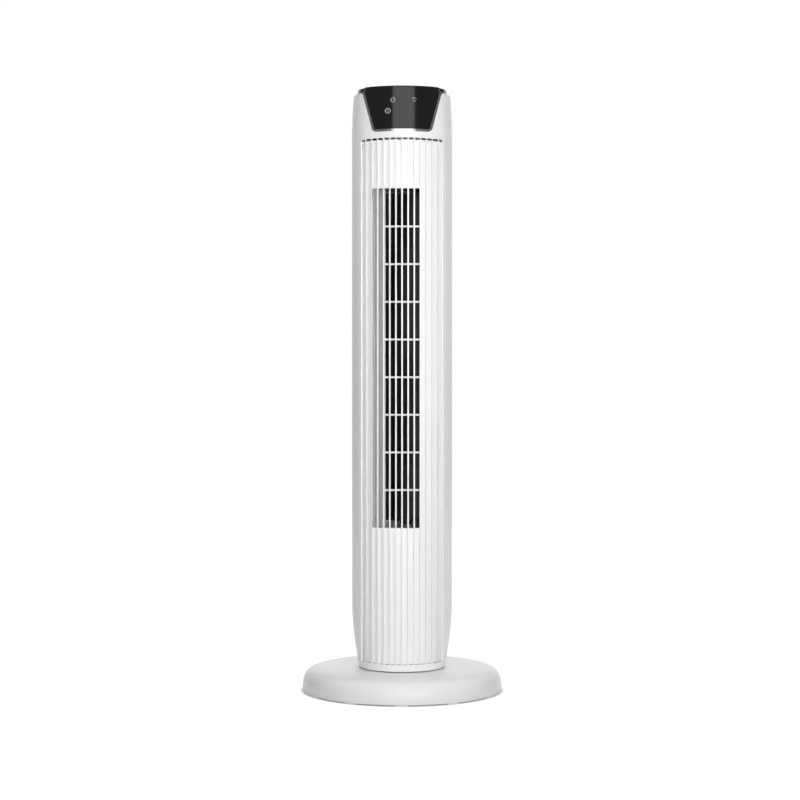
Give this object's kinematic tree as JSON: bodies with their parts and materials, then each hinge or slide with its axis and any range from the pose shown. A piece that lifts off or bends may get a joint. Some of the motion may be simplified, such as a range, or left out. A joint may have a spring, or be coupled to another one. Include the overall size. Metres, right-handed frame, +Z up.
{
  "type": "tower fan",
  "caption": "Floor-standing tower fan: round dished base, swinging round column with ribbed front and outlet window, cross-flow impeller, glossy touch cap.",
  "frame": {"origin": "on the floor under the centre of the round base", "axes": "+Z up along the column, -Y out of the ribbed front, +X to the right seen from the front"},
  "size_m": [0.306, 0.306, 0.924],
  "materials": {
    "white_plastic": "satin moulded, fine grain",
    "black_gloss": "high gloss",
    "plated_trim": "plated, satin bright",
    "black_plastic": "moulded",
    "steel": "zinc plated",
    "sheet_steel": "pressed sheet",
    "copper": "enamelled winding wire",
    "rubber": "matte",
    "bronze": "sintered",
    "acetal": "natural acetal",
    "board": "solder mask"
  },
  "bodies": {
    "base": {"base_cover": "white_plastic", "base_plate": "white_plastic", "swivel_post": "black_plastic", "post_screw_1": "steel", "post_screw_2": "steel", "post_screw_3": "steel", "post_screw_4": "steel", "slide_ring": "acetal", "thrust_ring": "acetal", "swing_gear": "acetal", "post_nut": "black_plastic", "cord_inlet": "rubber"},
    "column": {"front_frame": "white_plastic", "front_grille": "white_plastic", "rear_housing": "white_plastic", "rear_grille": "white_plastic", "outlet_guard": "white_plastic", "duct_tongue": "white_plastic", "duct_scroll": "white_plastic", "board_tray": "white_plastic", "control_panel": "black_gloss", "panel_trim": "plated_trim", "motor_deck": "black_plastic", "top_deck": "black_plastic", "turntable": "black_plastic", "panel_carrier": "black_plastic", "led_display": "black_plastic", "ir_receiver": "black_plastic", "run_capacitor": "black_plastic", "housing_screw_low_left": "steel", "housing_screw_low_right": "steel", "housing_screw_high_left": "steel", "housing_screw_high_right": "steel", "motor_screw_1": "steel", "motor_screw_2": "steel", "motor_screw_3": "steel", "swing_screw_1": "steel", "swing_screw_2": "steel", "stator_core": "steel", "motor_bell_lower": "sheet_steel", "motor_bell_upper": "sheet_steel", "swing_motor": "sheet_steel", "winding_lower": "copper", "winding_upper": "copper", "motor_mount_1": "rubber", "motor_mount_2": "rubber", "motor_mount_3": "rubber", "bearing_rubber": "rubber", "wire_harness": "rubber", "bushing_lower": "bronze", "bushing_upper": "bronze", "top_bearing": "bronze", "power_board": "board", "control_board": "board"},
    "impeller": {"impeller": "black_plastic", "motor_shaft": "steel", "motor_rotor": "steel", "top_pin": "steel"},
    "pinion": {"swing_pinion": "acetal"}
  },
  "joints": [
    {"name": "oscillation", "type": "hinge", "parent": "base", "child": "column", "pos_m": [0, 0, 0.0405], "axis": [0, 0, 1], "range_deg": [-37.5, 37.5]},
    {"name": "impeller_spin", "type": "hinge", "parent": "column", "child": "impeller", "pos_m": [0.006, 0.008, 0.5], "axis": [0, 0, 1], "continuous": true},
    {"name": "pinion_spin", "type": "hinge", "parent": "column", "child": "pinion", "pos_m": [0, 0.03, 0.05], "axis": [0, 0, 1], "range_deg": [-90, 90]}
  ],
  "couplings": [
    {"joint": "pinion_spin", "follows": "oscillation", "ratio": 2.2857}
  ]
}
